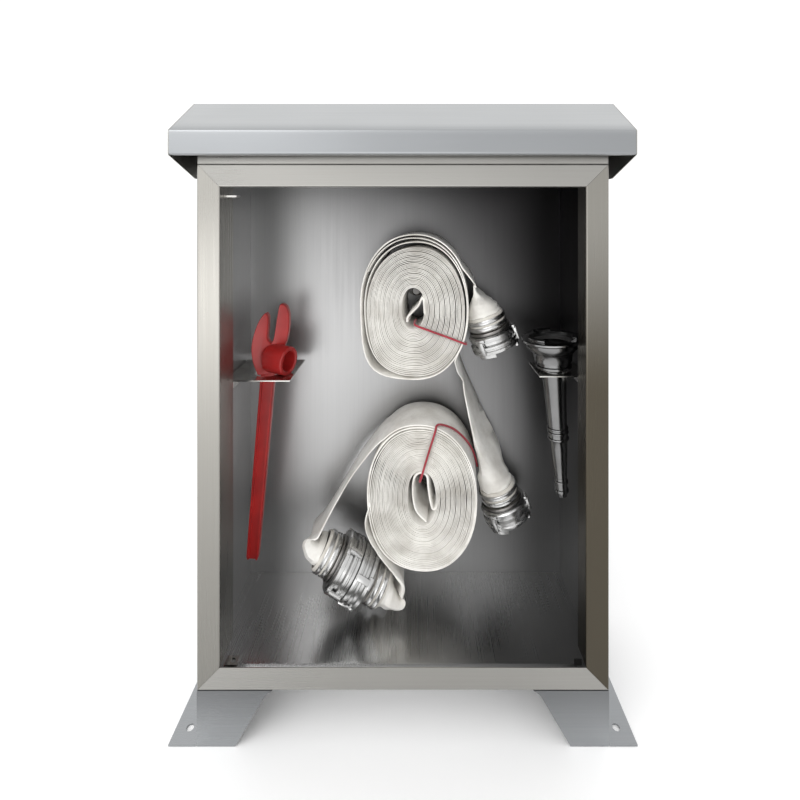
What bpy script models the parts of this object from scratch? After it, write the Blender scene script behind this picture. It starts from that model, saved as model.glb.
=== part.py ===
"""A free-standing stainless fire hose cabinet with two lay-flat hoses, a hydrant spanner and a branch nozzle.

Metres, +Z up. The front faces -Y, and the origin is on the ground under the middle of the cabinet.
"""

import math

import bmesh
import bpy
from mathutils import Matrix, Vector

# Cabinet body
HALF_W = 0.325
FRONT_Y = -0.105
BACK_Y = 0.135
BODY_Z0 = 0.088
BODY_Z1 = 0.918
SHEET = 0.0012
GAP = 0.0003
INNER_X = HALF_W - SHEET
INNER_BACK = BACK_Y - SHEET

# Front frame
FLANGE_W = 0.036
FRAME_LEG = 0.020
BEND_R = 0.0022
LEFT_LIP = 0.055
RIGHT_LIP = 0.037
TOP_LIP = 0.030
MITRE_SHIFT = 0.00022
OPENING_X = HALF_W - FLANGE_W

# Rain hood
HOOD_X = 0.355
HOOD_FRONT = -0.135
FASCIA_Z0 = 0.929
FASCIA_Z1 = 0.966
RIDGE_Y = -0.050
RIDGE_Z = 1.026
ROOF_BACK_Z = 1.014
CHEEK_Z = 0.899
CHEEK_KNEE_Y = -0.049
NECK_TOP = 0.974

# Feet
FOOT_SHEET = 0.0025
FOOT_TOP = BODY_Z0 - GAP
FOOT_TOP_W = 0.119
FOOT_BOTTOM_W = 0.061
FOOT_KNEE_W = 0.1045
FOOT_KNEE_Z = 0.0738
FOOT_FILLET_Z = 0.0850
FOOT_FLANGE_W = 0.060
BASE_FLANGE = 0.045
ANCHOR_R = 0.006
ANCHOR_X = 0.347
ANCHOR_INSET = 0.025

# Hose rolls: the front face's centre, and the half axes of the oval
HOSE_W = 0.105
YAW = math.radians(-6)
ROLL_HALF_W = 0.1035
UPPER_ROLL = Vector((0.017, 0.015, 0.667))
UPPER_HALF_H = 0.1375
LOWER_ROLL = Vector((0.030, 0.015, 0.317))
LOWER_HALF_H = 0.135
VOID_HALF_W = 0.026
VOID_HALF_H = 0.036
PEG_R = 0.009
PEG_FRONT = 0.060
TIE_D = 0.004

# Hose couplings: the mouth plane is at 0 on the coupling's own axis, and the hose is on the negative side
SHANK_END = 0.068
TAIL_GAP = 0.006
RING_LENGTH = 0.034
SMALL_RING_R = 0.0455
LARGE_RING_R = 0.053
TURN_STEPS = 24

# Hydrant spanner and its bracket
SPANNER_AT = Vector((-0.256, 0.037, 0.542))
SPANNER_AXIS = Vector((0.084, 0, 0.9965))
SPANNER_BRACKET = ((-INNER_X + GAP, -0.204), (-0.008, 0.110))
SPANNER_REST = 0.0005
SPANNER_HOLE_R = 0.025

# Branch nozzle and its bracket
NOZZLE_RIM = Vector((0.268, 0.007, 0.6155))
NOZZLE_AXIS = Vector((0.065, 0, -0.998))
NOZZLE_BRACKET_Z = 0.557
NOZZLE_BRACKET = ((INNER_X - GAP, 0.236), (-0.030, 0.044))
NOZZLE_HOLE_R = 0.026
BRACKET_SHEET = 0.002

for old in list(bpy.data.objects):
    bpy.data.objects.remove(old, do_unlink=True)

parts = bpy.data.collections.new("standpipe_cabinet")
cutters = bpy.data.collections.new("cutters")
for group in (parts, cutters):
    bpy.context.scene.collection.children.link(group)

FINISHES = {
    "stainless": ((0.58, 0.57, 0.54), 0.34, 1.0),
    "dark_steel": ((0.30, 0.30, 0.30), 0.45, 1.0),
    "canvas": ((0.78, 0.76, 0.71), 0.90, 0.0),
    "aluminium": ((0.62, 0.62, 0.63), 0.40, 1.0),
    "rubber": ((0.03, 0.03, 0.03), 0.70, 0.0),
    "red_paint": ((0.60, 0.02, 0.03), 0.35, 0.0),
    "red_cord": ((0.62, 0.06, 0.09), 0.80, 0.0),
}


def finish_of(name):
    """The material of one finish, made the first time that it is asked for."""
    found = bpy.data.materials.get(name)
    if found:
        return found
    colour, roughness, metallic = FINISHES[name]
    made = bpy.data.materials.new(name)
    made.use_nodes = True
    shader = made.node_tree.nodes["Principled BSDF"]
    shader.inputs["Base Color"].default_value = (*colour, 1)
    shader.inputs["Roughness"].default_value = roughness
    shader.inputs["Metallic"].default_value = metallic
    return made


def add(name, mesh, finish=None, place=Matrix.Identity(4)):
    """An object in the parts collection, or a wire cutter when it has no finish."""
    made = bpy.data.objects.new(name, mesh)
    made.matrix_world = place
    if finish:
        mesh.materials.append(finish_of(finish))
        parts.objects.link(made)
    else:
        made.hide_render = True
        made.display_type = "WIRE"
        cutters.objects.link(made)
    return made


def mesh_of(name, bm, smooth=False):
    """The mesh of a bmesh, with its faces pointing out."""
    bmesh.ops.recalc_face_normals(bm, faces=bm.faces)
    if bm.calc_volume(signed=True) < 0:
        bmesh.ops.reverse_faces(bm, faces=bm.faces)
    mesh = bpy.data.meshes.new(name)
    bm.to_mesh(mesh)
    bm.free()
    if smooth:
        mesh.shade_smooth()
        mesh.set_sharp_from_angle(angle=math.radians(40))
    return mesh


def boolean(target, other, operation="DIFFERENCE"):
    """Cuts another object from the target, or joins it to the target."""
    made = target.modifiers.new(other.name, "BOOLEAN")
    made.operation = operation
    made.object = other
    made.solver = "EXACT"


def box(name, low, high, finish=None, place=Matrix.Identity(4)):
    """A box between two corners."""
    bm = bmesh.new()
    bmesh.ops.create_cube(bm, size=1)
    low = Vector(low)
    high = Vector(high)
    for v in bm.verts:
        v.co = Vector((low[i] + (v.co[i] + 0.5) * (high[i] - low[i]) for i in range(3)))
    return add(name, mesh_of(name, bm), finish, place)


def cylinder(name, at, axis, radius, length, finish=None, sides=32):
    """A cylinder centred on a point."""
    bm = bmesh.new()
    bmesh.ops.create_cone(
        bm, cap_ends=True, segments=sides, radius1=radius, radius2=radius, depth=length
    )
    turn = Vector(axis).to_track_quat("Z", "Y").to_matrix().to_4x4()
    return add(name, mesh_of(name, bm, True), finish, Matrix.Translation(at) @ turn)


def rounded(points, radius, steps=3, closed=False):
    """A 2D outline whose corners are arcs."""
    made = []
    count = len(points)
    for i in range(count):
        corner = Vector(points[i])
        if not closed and i in (0, count - 1):
            made.append(corner)
            continue
        back = (Vector(points[i - 1]) - corner).normalized()
        ahead = (Vector(points[(i + 1) % count]) - corner).normalized()
        half = back.angle(ahead) / 2
        centre = corner + (back + ahead).normalized() * radius / math.sin(half)
        first = corner + back * radius / math.tan(half) - centre
        last = corner + ahead * radius / math.tan(half) - centre
        for k in range(steps + 1):
            blend = first.lerp(last, k / steps)
            made.append(centre + blend.normalized() * radius)
    return made


def beside(line, distance):
    """A 2D line moved to its left by a distance that stays even round its bends."""
    made = []
    for i, point in enumerate(line):
        sides = []
        if i > 0:
            sides.append((point - line[i - 1]).normalized())
        if i < len(line) - 1:
            sides.append((line[i + 1] - point).normalized())
        normals = [Vector((-side.y, side.x)) for side in sides]
        middle = sum(normals, Vector((0, 0))).normalized()
        made.append(point + middle * distance / middle.dot(normals[0]))
    return made


def swept(name, near, far, place, finish, smooth=False, closed=False):
    """A strip between two 2D lines, swept from w = 0 to w = 1 by place(u, v, w)."""
    bm = bmesh.new()
    rows = [[bm.verts.new((p[0], p[1], 0)) for p in line] for line in (near, far)]
    count = len(near)
    for i in range(count if closed else count - 1):
        j = (i + 1) % count
        bm.faces.new((rows[0][i], rows[0][j], rows[1][j], rows[1][i]))
    top = bmesh.ops.extrude_face_region(bm, geom=bm.faces[:])["geom"]
    for v in top:
        if isinstance(v, bmesh.types.BMVert):
            v.co.z = 1
    for v in bm.verts:
        v.co = Vector(place(*v.co))
    return add(name, mesh_of(name, bm, smooth), finish)


def bent_sheet(name, points, place, finish="stainless", thickness=SHEET, radius=BEND_R):
    """A folded sheet: an open outline with rounded bends, thickened to its left and swept by place."""
    line = rounded(points, radius)
    return swept(name, line, beside(line, thickness), place, finish)


def plate(name, outline, place, finish=None):
    """A flat outline, swept by place."""
    bm = bmesh.new()
    bm.faces.new([bm.verts.new((p[0], p[1], 0)) for p in outline])
    top = bmesh.ops.extrude_face_region(bm, geom=bm.faces[:])["geom"]
    for v in top:
        if isinstance(v, bmesh.types.BMVert):
            v.co.z = 1
    for v in bm.verts:
        v.co = Vector(place(*v.co))
    return add(name, mesh_of(name, bm), finish)


def mix(low, high, share):
    return low + (high - low) * share


def along(at, axis):
    """The placement of a turned piece: its own +Z lies along the axis."""
    return Matrix.Translation(at) @ Vector(axis).to_track_quat("Z", "Y").to_matrix().to_4x4()


def turned(name, outer, inner, at, axis, finish, steps=TURN_STEPS):
    """A turned piece from (radius, height) points: down its outer side, then up its inner side."""
    mesh = bpy.data.meshes.new(name)
    points = outer + inner
    closed = points[0][0] > 0
    verts = [(r, 0, z) for r, z in points]
    edges = [(i, i + 1) for i in range(len(points) - 1)]
    if closed:
        edges.append((len(points) - 1, 0))
    mesh.from_pydata(verts, edges, [])
    made = add(name, mesh, finish, along(at, axis))
    screw = made.modifiers.new("turn", "SCREW")
    screw.steps = steps
    screw.render_steps = steps
    screw.use_merge_vertices = True
    screw.merge_threshold = 0.00001
    return made


# Sheet-metal box -----------------------------------------------------------------------------------------


def make_box_panels():
    """The back, sides, top and floor, which the front frame closes."""
    start_y = FRONT_Y + FRAME_LEG + GAP
    side_back = INNER_BACK - GAP
    box("back_panel", (-HALF_W, INNER_BACK, BODY_Z0), (HALF_W, BACK_Y, BODY_Z1), "stainless")
    for side, name in ((-1, "left_side_panel"), (1, "right_side_panel")):
        edges = sorted((side * INNER_X, side * HALF_W))
        box(name, (edges[0], start_y, BODY_Z0), (edges[1], side_back, BODY_Z1), "stainless")
    inside = INNER_X - GAP
    box("top_panel", (-inside, start_y, BODY_Z1 - SHEET), (inside, side_back, BODY_Z1), "stainless")
    box("floor_panel", (-inside, start_y, BODY_Z0), (inside, side_back, BODY_Z0 + SHEET), "stainless")


def frame_outline(lip):
    """A frame member's section: u is measured in from the cabinet's edge, v back from its front."""
    points = [(0, FRAME_LEG), (0, 0), (FLANGE_W, 0)]
    if lip:
        points.append((FLANGE_W, lip))
    return points


def make_front_frame():
    """Four members with mitred corners."""
    for side, lip, name in ((-1, LEFT_LIP, "frame_left_stile"), (1, RIGHT_LIP, "frame_right_stile")):

        def upright(u, v, w, side=side):
            inset = u + MITRE_SHIFT
            return side * (HALF_W - u), FRONT_Y + v, mix(BODY_Z0 + inset, BODY_Z1 - inset, w)

        bent_sheet(name, frame_outline(lip), upright)

    def top(u, v, w):
        reach = HALF_W - u - MITRE_SHIFT
        return mix(-reach, reach, w), FRONT_Y + v, BODY_Z1 - u

    def bottom(u, v, w):
        reach = HALF_W - u - MITRE_SHIFT
        return mix(-reach, reach, w), FRONT_Y + v, BODY_Z0 + u

    bent_sheet("frame_top_rail", frame_outline(TOP_LIP), top)
    bent_sheet("frame_bottom_rail", frame_outline(0), bottom)


def make_threshold():
    """A low angle strip on the floor behind the bottom rail."""
    floor = BODY_Z0 + SHEET + GAP
    reach = OPENING_X - 0.0015
    line = [(-0.060, floor), (-0.070, floor), (-0.070, floor + 0.007)]

    def across(u, v, w):
        return mix(-reach, reach, w), u, v

    swept_line = rounded(line, 0.0016)
    swept("threshold_strip", swept_line, beside(swept_line, -SHEET), across, "stainless")


def make_hood():
    """The folded roof, its two cheeks and the neck strip that it stands on."""
    reach = HOOD_X - SHEET - GAP
    roof = [
        (HOOD_FRONT + 0.012, FASCIA_Z0),
        (HOOD_FRONT, FASCIA_Z0),
        (HOOD_FRONT, FASCIA_Z1),
        (RIDGE_Y, RIDGE_Z),
        (BACK_Y, ROOF_BACK_Z),
        (BACK_Y, BODY_Z1 + GAP),
    ]
    line = rounded(roof, 0.0035, 3)
    swept(
        "hood_roof",
        line,
        beside(line, -SHEET),
        lambda u, v, w: (mix(-reach, reach, w), u, v),
        "stainless",
    )
    cheek = [
        (HOOD_FRONT, FASCIA_Z0),
        (HOOD_FRONT, FASCIA_Z1),
        (RIDGE_Y, RIDGE_Z),
        (BACK_Y, ROOF_BACK_Z),
        (BACK_Y, CHEEK_Z),
        (CHEEK_KNEE_Y, CHEEK_Z),
    ]
    outline = rounded(cheek, 0.0035, 3, closed=True)
    for side, name in ((-1, "hood_left_cheek"), (1, "hood_right_cheek")):
        plate(name, outline, lambda u, v, w, s=side: (s * (HOOD_X - SHEET * w), u, v), "stainless")
    inner_back = BACK_Y - SHEET - 2 * GAP
    neck = [(-HALF_W, inner_back), (-HALF_W, FRONT_Y), (HALF_W, FRONT_Y), (HALF_W, inner_back)]
    bent_sheet("hood_neck", neck, lambda u, v, w: (u, v, mix(BODY_Z1 + GAP, NECK_TOP, w)))


def make_foot(side, name):
    """One folded foot: a top flange, a web, an outward base flange with anchor holes, and end gussets."""
    section = [
        (HALF_W - FOOT_FLANGE_W, FOOT_TOP),
        (HALF_W, FOOT_TOP),
        (HALF_W, FOOT_SHEET),
        (HALF_W + BASE_FLANGE, FOOT_SHEET),
    ]

    def through(u, v, w):
        return side * u, mix(FRONT_Y, BACK_Y, w), v

    upper = rounded(section[:3], 0.003)[:-1]
    lower = rounded(section[1:], 0.003)[1:]
    line = upper + lower
    foot = swept(name, line, beside(line, -FOOT_SHEET), through, "stainless")
    inner_top = HALF_W - FOOT_TOP_W
    inner_bottom = HALF_W - FOOT_BOTTOM_W
    knee = Vector((HALF_W - FOOT_KNEE_W, FOOT_KNEE_Z))
    lean = (inner_bottom - knee.x) / knee.y
    middle = Vector((knee.x - lean * (FOOT_FILLET_Z - knee.y), FOOT_FILLET_Z))
    end = Vector((inner_top, FOOT_TOP - 0.0005))
    curve = [knee]
    for k in range(1, 6):
        t = k / 5
        curve.append(knee.lerp(middle, t).lerp(middle.lerp(end, t), t))
    outline = [(HALF_W - 0.0005, 0.0), (inner_bottom, 0.0)]
    outline += [tuple(p) for p in curve]
    outline += [(inner_top, FOOT_TOP), (HALF_W - 0.0005, FOOT_TOP)]
    ends = ((FRONT_Y, FRONT_Y + FOOT_SHEET, "front"), (BACK_Y - FOOT_SHEET, BACK_Y, "back"))
    for front, back, end_name in ends:

        def gusset(u, v, w, front=front, back=back):
            return side * u, mix(front, back, w), v

        end_plate = plate(f"{name}_{end_name}_gusset", outline, gusset)
        boolean(foot, end_plate, "UNION")
    for y in (FRONT_Y + ANCHOR_INSET, BACK_Y - ANCHOR_INSET):
        place = (side * ANCHOR_X, y, 0)
        hole = cylinder(f"{name}_anchor_{y:.2f}", place, (0, 0, 1), ANCHOR_R, 0.02, sides=16)
        boolean(foot, hole)
    return foot


def make_fittings():
    """The two pivot plates of the door and the catch tab."""
    inner = -OPENING_X + GAP
    for name, z in (("hinge_plate_lower", 0.111), ("hinge_plate_upper", 0.866)):
        pivot = box(name, (inner, -0.090, z), (-0.268, -0.074, z + 0.003), "dark_steel")
        hole = cylinder(f"{name}_hole", (-0.2765, -0.082, z), (0, 0, 1), 0.004, 0.02, sides=16)
        boolean(pivot, hole)
    box("strike_tab", (0.276, -0.087, 0.110), (OPENING_X - GAP, -0.0855, 0.121), "stainless")


def make_bracket(name, span_x, span_y, top, hole_at, hole_r):
    """A bracket plate with a hole and a flange that is bent down along the side wall."""
    near_x, far_x = span_x
    points = [(far_x, top), (near_x, top), (near_x, top - 0.030)]
    turn_left = far_x > near_x
    line = rounded(points, 0.003)
    thick = BRACKET_SHEET if turn_left else -BRACKET_SHEET
    sheet = swept(
        name,
        line,
        beside(line, thick),
        lambda u, v, w: (u, mix(span_y[0], span_y[1], w), v),
        "stainless",
    )
    hole = cylinder(f"{name}_hole", (*hole_at, top), (0, 0, 1), hole_r, 0.02, sides=32)
    boolean(sheet, hole)
    return sheet


def make_peg(name, centre):
    """A round peg on a disc that is welded to the back panel."""
    wall = INNER_BACK - GAP
    length = wall - PEG_FRONT
    outer = [(0, length), (PEG_R - 0.002, length), (PEG_R, length - 0.002), (PEG_R, 0.002), (0.022, 0.002)]
    outer += [(0.022, 0), (0, 0)]
    turned(name, outer, [], (centre.x, wall, centre.z), (0, -1, 0), "stainless")


# Hydrant spanner -----------------------------------------------------------------------------------------


def make_spanner():
    """A cast spanner that hangs by its head: a tapered handle, a socket and an open jaw."""
    lean = math.atan2(SPANNER_AXIS.x, SPANNER_AXIS.z)
    turn = Matrix.Translation(SPANNER_AT) @ Matrix.Rotation(lean, 4, "Y")
    bm = bmesh.new()
    levels = [(0.036, 0.013, 0.009), (-0.02, 0.013, 0.0085)]
    levels += [(-0.20, 0.0125, 0.0078), (-0.352, 0.0115, 0.007)]
    rings = []
    for z, half_x, half_y in levels:
        corner = 0.004
        outline = [(half_x, half_y), (-half_x, half_y), (-half_x, -half_y), (half_x, -half_y)]
        rings.append([bm.verts.new((p[0], p[1], z)) for p in rounded(outline, corner, 2, closed=True)])
    for upper, lower in zip(rings, rings[1:]):
        for i in range(len(upper)):
            j = (i + 1) % len(upper)
            bm.faces.new((upper[i], upper[j], lower[j], lower[i]))
    bm.faces.new(rings[0])
    bm.faces.new(rings[-1])
    spanner = add("spanner", mesh_of("spanner", bm), "red_paint", turn)
    socket_z = SPANNER_AT.z + 0.0255
    socket = cylinder("spanner_socket", (-0.2265, SPANNER_AT.y, socket_z), (1, 0, 0), 0.0247, 0.055)
    boolean(spanner, socket, "UNION")
    half_y = 0.038
    jaw = [
        (-0.014, 0.012),
        (-0.034, 0.046),
        (-half_y - 0.004, 0.070),
        (-half_y, 0.108),
        (-0.030, 0.119),
        (-0.024, 0.112),
        (-0.026, 0.088),
        (-0.020, 0.072),
        (-0.006, 0.064),
        (0.010, 0.065),
        (0.023, 0.076),
        (0.030, 0.096),
        (0.034, 0.121),
        (0.043, 0.124),
        (0.047, 0.100),
        (0.042, 0.064),
        (0.014, 0.012),
    ]
    at = SPANNER_AT

    def jaw_place(u, v, w):
        return -0.254 + 0.016 * w, at.y + u, at.z + v

    fork = plate("spanner_jaw", jaw, jaw_place)
    boolean(spanner, fork, "UNION")
    pentagon = cylinder("spanner_pentagon", (-0.199, at.y, socket_z), (1, 0, 0), 0.0165, 0.060, sides=5)
    boolean(spanner, pentagon)


# Branch nozzle -------------------------------------------------------------------------------------------


def make_nozzle():
    """The nozzle hangs mouth up; heights are measured down its own axis from the rim."""
    axis = -NOZZLE_AXIS
    rim = NOZZLE_RIM
    turned(
        "nozzle_coupling",
        [(0.0500, 0), (0.0515, -0.0015), (0.0515, -0.0100), (0.0470, -0.0120), (0.0470, -0.0200)]
        + [(0.0440, -0.0220), (0.0330, -0.0330), (0.0330, -0.0480)],
        [(0.0235, -0.0480), (0.0235, -0.0140), (0.0400, -0.0140), (0.0400, 0)],
        rim,
        axis,
        "aluminium",
    )
    turned(
        "nozzle_gasket",
        [(0.0397, -0.0030), (0.0397, -0.0137)],
        [(0.0270, -0.0137), (0.0270, -0.0050), (0.0300, -0.0030)],
        rim,
        axis,
        "rubber",
    )
    turned(
        "nozzle_body",
        [(0.0232, -0.0400), (0.0232, -0.0650), (0.0210, -0.0680), (0.0165, -0.1500), (0.0190, -0.1520)]
        + [(0.0190, -0.1760), (0.0160, -0.1780)],
        [(0.0120, -0.1780), (0.0180, -0.0400)],
        rim,
        axis,
        "aluminium",
    )
    turned(
        "nozzle_tip",
        [(0.0160, -0.1783), (0.0125, -0.2500), (0.0125, -0.2790), (0.0115, -0.2910)],
        [(0.0095, -0.2910), (0.0110, -0.1783)],
        rim,
        axis,
        "aluminium",
    )


# Hoses ---------------------------------------------------------------------------------------------------


def oval(half_w, half_h, count=44):
    step = 2 * math.pi / count
    return [Vector((half_w * math.cos(k * step), half_h * math.sin(k * step))) for k in range(count)]


def in_roll(face_centre, u, v, w):
    """A point of a roll: u to its right, v up, w back from its front face."""
    return face_centre + Matrix.Rotation(YAW, 3, "Z") @ Vector((u, w, v))


def make_roll(name, face_centre, half_h):
    """A rolled hose as one oval ring."""
    swept(
        name,
        oval(ROLL_HALF_W, half_h),
        oval(VOID_HALF_W, VOID_HALF_H),
        lambda u, v, w: in_roll(face_centre, u, v, w * HOSE_W),
        "canvas",
        smooth=True,
        closed=True,
    )


def smooth_path(points, share):
    """A point of the Catmull-Rom curve through the points, at a share of its spans."""
    spans = len(points) - 1
    place = min(share * spans, spans - 1e-9)
    i = int(place)
    t = place - i
    p1 = points[i]
    p2 = points[i + 1]
    p0 = points[i - 1] if i > 0 else p1 * 2 - p2
    p3 = points[i + 2] if i + 2 <= spans else p2 * 2 - p1
    slope_a = (p2 - p0) / 2
    slope_b = (p3 - p1) / 2
    return (
        p1 * (2 * t**3 - 3 * t**2 + 1)
        + slope_a * (t**3 - 2 * t**2 + t)
        + p2 * (-2 * t**3 + 3 * t**2)
        + slope_b * (t**3 - t**2)
    )


def make_tail(name, stations, sections=16, sides=10):
    """A free hose end, lofted through (centre, direction of its width, width, thickness)."""
    centres = [Vector(s[0]) for s in stations]
    widths = [Vector(s[1]).normalized() for s in stations]
    sizes = [Vector((s[2], s[3])) for s in stations]
    bm = bmesh.new()
    rings = []
    for k in range(sections + 1):
        share = k / sections
        centre = smooth_path(centres, share)
        ahead = smooth_path(centres, min(share + 0.01, 1)) - smooth_path(centres, max(share - 0.01, 0))
        across = smooth_path(widths, share)
        across = (across - ahead.normalized() * across.dot(ahead.normalized())).normalized()
        through = ahead.normalized().cross(across)
        size = smooth_path(sizes, share)
        ring = []
        for j in range(sides):
            angle = 2 * math.pi * j / sides
            offset = across * size.x / 2 * math.cos(angle) + through * size.y / 2 * math.sin(angle)
            ring.append(bm.verts.new(centre + offset))
        rings.append(ring)
    for a, b in zip(rings, rings[1:]):
        for i in range(sides):
            j = (i + 1) % sides
            bm.faces.new((a[i], a[j], b[j], b[i]))
    bm.faces.new(rings[0])
    bm.faces.new(rings[-1])
    return add(name, mesh_of(name, bm, True), "canvas")


def make_coupling(letter, mouth, axis, ring_r):
    """One hose coupling: the shank in the hose, its binding, the lug ring that swivels, and the gasket."""
    name = f"coupling_{letter}"
    turned(
        f"{name}_ring",
        [(ring_r - 0.0015, -0.0005), (ring_r, -0.002), (ring_r, -0.010), (ring_r - 0.004, -0.012)]
        + [(ring_r - 0.004, -0.021), (ring_r - 0.001, -0.023), (ring_r - 0.001, -0.030)]
        + [(ring_r - 0.006, -RING_LENGTH)],
        [(0.0345, -RING_LENGTH), (0.0345, -0.0160), (0.0410, -0.0160), (0.0410, -0.0005)],
        mouth,
        axis,
        "aluminium",
    )
    turned(
        f"{name}_shank",
        [(0.0407, -0.0095), (0.0407, -0.0157), (0.0342, -0.0157), (0.0342, -0.0390), (0.0310, -0.0400)]
        + [(0.0310, -SHANK_END)],
        [(0.0275, -SHANK_END), (0.0275, -0.0095)],
        mouth,
        axis,
        "aluminium",
    )
    turned(
        f"{name}_gasket",
        [(0.0407, -0.0010), (0.0407, -0.0092)],
        [(0.0285, -0.0092), (0.0285, -0.0030), (0.0310, -0.0010)],
        mouth,
        axis,
        "rubber",
    )
    turned(
        f"{name}_binding",
        [(0.0355, -0.0420), (0.0365, -0.0430), (0.0365, -0.0500), (0.0330, -0.0520), (0.0330, -0.0660)],
        [(0.0313, -0.0660), (0.0313, -0.0420)],
        mouth,
        axis,
        "canvas",
    )


def make_tie(name, points, per_span):
    """A tie cord as a tube along a smooth curve through its route's points."""
    places = [Vector(p) for p in points]
    count = (len(places) - 1) * per_span
    curve = bpy.data.curves.new(name, "CURVE")
    curve.dimensions = "3D"
    curve.bevel_depth = TIE_D / 2
    curve.bevel_resolution = 2
    curve.use_fill_caps = True
    spline = curve.splines.new("POLY")
    spline.points.add(count)
    for k in range(count + 1):
        spline.points[k].co = (*smooth_path(places, k / count), 1)
    return add(name, curve, "red_cord")


def make_upper_hose():
    """The upper roll, its tie, and its two free ends with couplings a and b."""
    make_roll("upper_hose_roll", UPPER_ROLL, UPPER_HALF_H)
    axis_a = Vector((0.342, 0, -0.940))
    mouth_a = Vector((0.1712, 0.064, 0.598)) + axis_a * RING_LENGTH / 2
    make_coupling("a", mouth_a, axis_a, SMALL_RING_R)
    end_a = mouth_a - axis_a * (SHANK_END + TAIL_GAP)
    make_tail(
        "upper_hose_tail_a",
        [
            ((0.1270, 0.0680, 0.7270), (0.1, 1, 0), 0.096, 0.0050),
            ((0.1340, 0.0670, 0.7030), (0.15, 1, 0), 0.090, 0.0060),
            ((0.1450, 0.0650, 0.6760), (0.2, 1, 0), 0.074, 0.0200),
            (end_a, (0.2, 1, 0), 0.060, 0.0500),
        ],
    )
    axis_b = Vector((0.342, 0, -0.940))
    mouth_b = Vector((0.197, 0.077, 0.262)) + axis_b * RING_LENGTH / 2
    make_coupling("b", mouth_b, axis_b, SMALL_RING_R)
    end_b = mouth_b - axis_b * (SHANK_END + TAIL_GAP)
    make_tail(
        "upper_hose_tail_b",
        [
            ((0.1030, 0.0890, 0.5620), (0, 1, 0), 0.070, 0.0050),
            ((0.1130, 0.0870, 0.5250), (0.1, 1, 0), 0.078, 0.0050),
            ((0.1260, 0.0840, 0.4750), (0.3, 1, 0), 0.080, 0.0060),
            ((0.1470, 0.0820, 0.4150), (0.5, 1, 0), 0.082, 0.0060),
            ((0.1660, 0.0800, 0.3620), (0.7, 1, 0.1), 0.074, 0.0160),
            (end_b, (0.8, 1, 0.2), 0.058, 0.0440),
        ],
        sections=20,
    )
    route = [
        (0.001, -0.0290, 0.030),
        (0.001, -0.0300, 0.006),
        (0.006, -0.0325, -0.0035),
        (0.030, -0.0410, -0.0036),
        (0.060, -0.0510, -0.0036),
        (0.088, -0.0610, -0.0032),
        (0.0955, -0.0650, 0.002),
        (0.0960, -0.0670, 0.014),
        (0.0955, -0.0690, 0.028),
    ]
    make_tie("upper_tie", [in_roll(UPPER_ROLL, *p) for p in route], 4)


def make_lower_hose():
    """The lower roll, its tie, and its two free ends, whose couplings c and d are joined."""
    make_roll("lower_hose_roll", LOWER_ROLL, LOWER_HALF_H)
    axis = Vector((0.848, 0, -0.530))
    joint = Vector((-0.0989, 0.037, 0.1725))
    make_coupling("c", joint, axis, LARGE_RING_R)
    make_coupling("d", joint, -axis, LARGE_RING_R)
    end_c = joint - axis * (SHANK_END + TAIL_GAP)
    end_d = joint + axis * (SHANK_END + TAIL_GAP)
    make_tail(
        "lower_hose_tail_c",
        [
            ((-0.0330, 0.0670, 0.4270), (0.1, 1, 0), 0.100, 0.0050),
            ((-0.0760, 0.0660, 0.3740), (0.1, 1, 0), 0.100, 0.0050),
            ((-0.1160, 0.0620, 0.3140), (0.1, 1, 0), 0.098, 0.0050),
            ((-0.1500, 0.0550, 0.2640), (0.05, 1, 0), 0.090, 0.0080),
            ((-0.1730, 0.0450, 0.2380), (0, 1, 0), 0.074, 0.0160),
            ((-0.1740, 0.0390, 0.2240), (0, 1, 0), 0.064, 0.0300),
            (end_c, (0, 1, 0), 0.058, 0.0400),
        ],
        sections=24,
    )
    make_tail(
        "lower_hose_tail_d",
        [
            ((-0.0715, 0.0675, 0.3000), (0.1, 1, 0), 0.098, 0.0045),
            ((-0.0630, 0.0670, 0.2520), (0.1, 1, 0), 0.098, 0.0045),
            ((-0.0400, 0.0660, 0.2110), (0.1, 1, 0), 0.096, 0.0045),
            ((-0.0170, 0.0600, 0.1800), (0.05, 1, 0), 0.090, 0.0045),
            ((-0.0060, 0.0520, 0.1500), (0, 1, 0), 0.076, 0.0070),
            ((-0.0180, 0.0420, 0.1290), (0, 1, 0), 0.060, 0.0160),
            (end_d, (0, 1, 0), 0.056, 0.0300),
        ],
        sections=24,
    )
    route = [
        (-0.002, 0.0290, 0.030),
        (-0.002, 0.0300, 0.006),
        (0.000, 0.0350, -0.0035),
        (0.009, 0.0660, -0.0036),
        (0.018, 0.0960, -0.0036),
        (0.027, 0.1250, -0.0036),
        (0.030, 0.1340, 0.003),
        (0.042, 0.1300, 0.014),
        (0.062, 0.1160, 0.028),
        (0.083, 0.0900, 0.044),
        (0.0975, 0.0600, 0.060),
        (0.1055, 0.0250, 0.074),
    ]
    make_tie("lower_tie", [in_roll(LOWER_ROLL, *p) for p in route], 5)


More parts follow.
